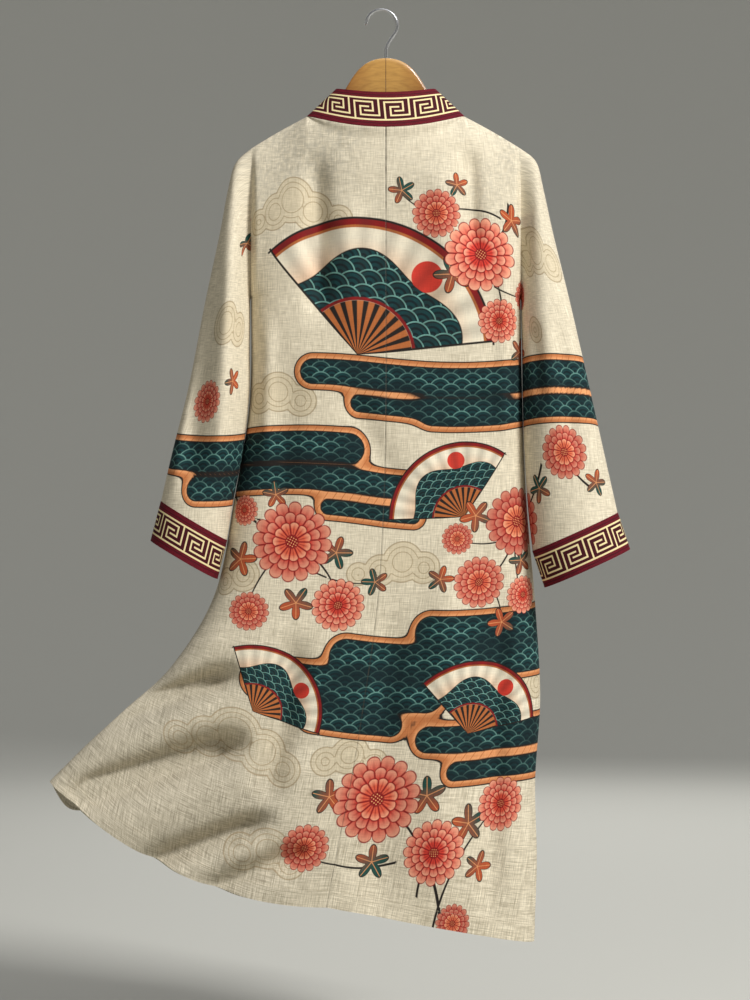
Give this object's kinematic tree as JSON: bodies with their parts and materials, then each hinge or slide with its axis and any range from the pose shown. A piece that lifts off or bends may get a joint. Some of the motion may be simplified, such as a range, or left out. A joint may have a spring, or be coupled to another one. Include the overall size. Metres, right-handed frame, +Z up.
{
  "type": "kimono robe on a wooden hanger",
  "caption": "Ankle-length linen kimono robe with key-pattern neckband and cuffs, hung on a wooden hanger with a wire hook, its skirt blown out to one side.",
  "frame": {"origin": "inside top of the hanger's hook, where a rail or wall hook carries it", "axes": "+Z up, -Y the way the back of the robe faces, +Y the wearer's front, +X the wearer's right"},
  "size_m": [0.7988, 0.173, 1.3059],
  "materials": {
    "linen": "slubby natural linen with a printed all-over design, matt",
    "band": "maroon cotton with a printed cream key pattern, matt",
    "wood": "pale beech with a thin clear lacquer",
    "steel": "bright steel wire"
  },
  "bodies": {
    "root": {"back_left": "linen", "back_right": "linen", "front_left": "linen", "front_right": "linen", "sleeve_left": "linen", "sleeve_right": "linen", "cuff_left": "band", "cuff_right": "band", "neckband": "band", "hanger_arm_left": "wood", "hanger_arm_right": "wood", "hook": "steel"}
  },
  "joints": []
}
